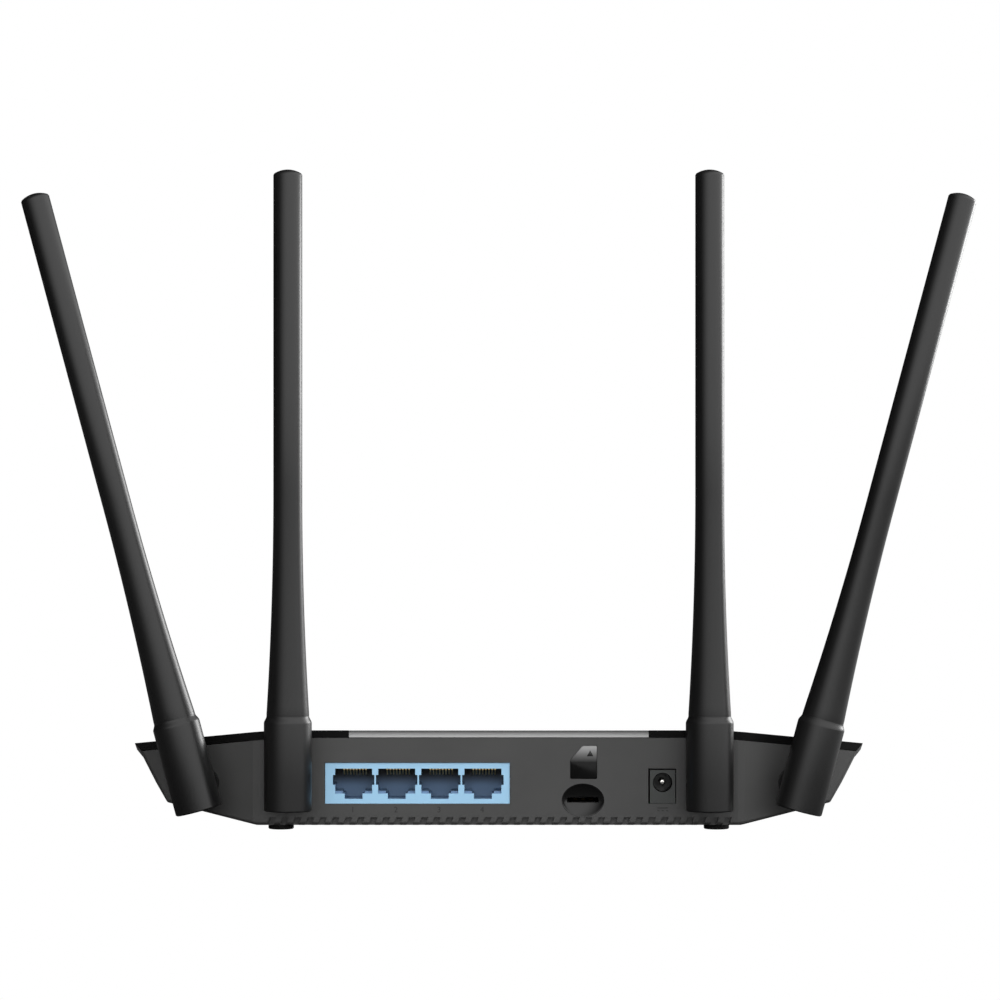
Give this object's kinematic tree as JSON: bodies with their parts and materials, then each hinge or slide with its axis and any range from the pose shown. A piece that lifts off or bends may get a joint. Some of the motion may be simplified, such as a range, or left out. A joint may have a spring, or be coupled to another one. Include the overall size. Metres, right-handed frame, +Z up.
{
  "type": "wireless router",
  "caption": "Wireless router with folding, swivelling antennas, a block of network sockets, a power inlet and a SIM slot.",
  "frame": {"origin": "on the floor under the middle of the whole object, antennas included", "axes": "+X to the router's right seen from its front, +Y towards the port wall and antennas, +Z up"},
  "size_m": [0.3084, 0.1642, 0.2136],
  "materials": {
    "case_plastic": "fine satin moulded finish",
    "cover_gloss": "glossy",
    "panel_gloss": "polished",
    "antenna_plastic": "soft satin",
    "hub_plastic": "satin",
    "jack_blue": "moulded blue plastic",
    "port_black": "moulded",
    "foot_rubber": "matte rubber",
    "gold_plate": "gold plated",
    "steel": "plated steel",
    "nickel": "nickel plated",
    "board_green": "solder mask",
    "chip_black": "moulded epoxy",
    "sink_aluminium": "extruded",
    "clear_pipe": "clear acrylic",
    "led_white": "package with phosphor",
    "radiator_copper": "copper on board",
    "lead_jacket": "cable jacket"
  },
  "bodies": {
    "case": {"bottom_case": "case_plastic", "top_cover": "cover_gloss", "centre_panel": "panel_gloss", "light_pipe": "clear_pipe", "case_screws": "steel", "foot_rear_left": "foot_rubber", "foot_rear_right": "foot_rubber", "foot_front_left": "foot_rubber", "foot_front_right": "foot_rubber", "main_board": "board_green", "lan_jack_block": "jack_blue", "lan_contacts": "gold_plate", "lan_magnetics": "chip_black", "dc_jack_housing": "port_black", "dc_centre_pin": "nickel", "dc_spring_contact": "nickel", "sim_socket_base": "port_black", "sim_socket_shell": "nickel", "sim_contacts": "gold_plate", "processor": "chip_black", "heat_sink": "sink_aluminium", "memory_chip": "chip_black", "flash_chip": "chip_black", "radio_module": "chip_black", "radio_shield": "nickel", "capacitors": "sink_aluminium", "inductors": "chip_black", "status_leds": "led_white", "board_screws": "steel", "reset_switch": "port_black", "lead_plugs": "gold_plate", "outer_left_lead": "lead_jacket", "inner_left_lead": "lead_jacket", "inner_right_lead": "lead_jacket", "outer_right_lead": "lead_jacket"},
    "sim_slider": {"sim_slider": "port_black"},
    "reset_stem": {"reset_stem": "port_black"},
    "outer_left_hub": {"outer_left_hub": "hub_plastic"},
    "outer_left_antenna": {"outer_left_base": "antenna_plastic", "outer_left_pin": "steel", "outer_left_blade": "antenna_plastic", "outer_left_radiator": "radiator_copper"},
    "inner_left_hub": {"inner_left_hub": "hub_plastic"},
    "inner_left_antenna": {"inner_left_base": "antenna_plastic", "inner_left_pin": "steel", "inner_left_blade": "antenna_plastic", "inner_left_radiator": "radiator_copper"},
    "inner_right_hub": {"inner_right_hub": "hub_plastic"},
    "inner_right_antenna": {"inner_right_base": "antenna_plastic", "inner_right_pin": "steel", "inner_right_blade": "antenna_plastic", "inner_right_radiator": "radiator_copper"},
    "outer_right_hub": {"outer_right_hub": "hub_plastic"},
    "outer_right_antenna": {"outer_right_base": "antenna_plastic", "outer_right_pin": "steel", "outer_right_blade": "antenna_plastic", "outer_right_radiator": "radiator_copper"}
  },
  "joints": [
    {"name": "outer_left_swivel", "type": "hinge", "parent": "case", "child": "outer_left_hub", "pos_m": [-0.09551, 0.05777, 0.0156], "axis": [-0.342, 0.9397, 0], "range_deg": [-76, 14]},
    {"name": "outer_left_fold", "type": "hinge", "parent": "outer_left_hub", "child": "outer_left_antenna", "pos_m": [-0.09911, 0.06764, 0.0156], "axis": [-0.9118, -0.3319, -0.2419], "range_deg": [-5.4, 84.6]},
    {"name": "inner_left_swivel", "type": "hinge", "parent": "case", "child": "inner_left_hub", "pos_m": [-0.0678, 0.06392, 0.0162], "axis": [0, 1, 0], "range_deg": [-15, 35]},
    {"name": "inner_left_fold", "type": "hinge", "parent": "inner_left_hub", "child": "inner_left_antenna", "pos_m": [-0.0678, 0.07443, 0.0162], "axis": [-1, 0, 0], "range_deg": [0, 90]},
    {"name": "inner_right_swivel", "type": "hinge", "parent": "case", "child": "inner_right_hub", "pos_m": [0.0678, 0.06392, 0.0162], "axis": [0, 1, 0], "range_deg": [-35, 15]},
    {"name": "inner_right_fold", "type": "hinge", "parent": "inner_right_hub", "child": "inner_right_antenna", "pos_m": [0.0678, 0.07443, 0.0162], "axis": [-1, 0, 0], "range_deg": [0, 90]},
    {"name": "outer_right_swivel", "type": "hinge", "parent": "case", "child": "outer_right_hub", "pos_m": [0.09551, 0.05777, 0.0156], "axis": [0.342, 0.9397, 0], "range_deg": [-14, 76]},
    {"name": "outer_right_fold", "type": "hinge", "parent": "outer_right_hub", "child": "outer_right_antenna", "pos_m": [0.09911, 0.06764, 0.0156], "axis": [-0.9118, 0.3319, 0.2419], "range_deg": [-5.4, 84.6]},
    {"name": "sim_slider_push", "type": "slide", "parent": "case", "child": "sim_slider", "axis": [0, -1, 0], "range_m": [0, 0.0014], "stiffness_N_per_m": 400, "springref_m": -0.0005},
    {"name": "reset_press", "type": "slide", "parent": "case", "child": "reset_stem", "axis": [0, 0, 1], "range_m": [0, 0.0003], "stiffness_N_per_m": 800, "springref_m": -0.0004}
  ]
}
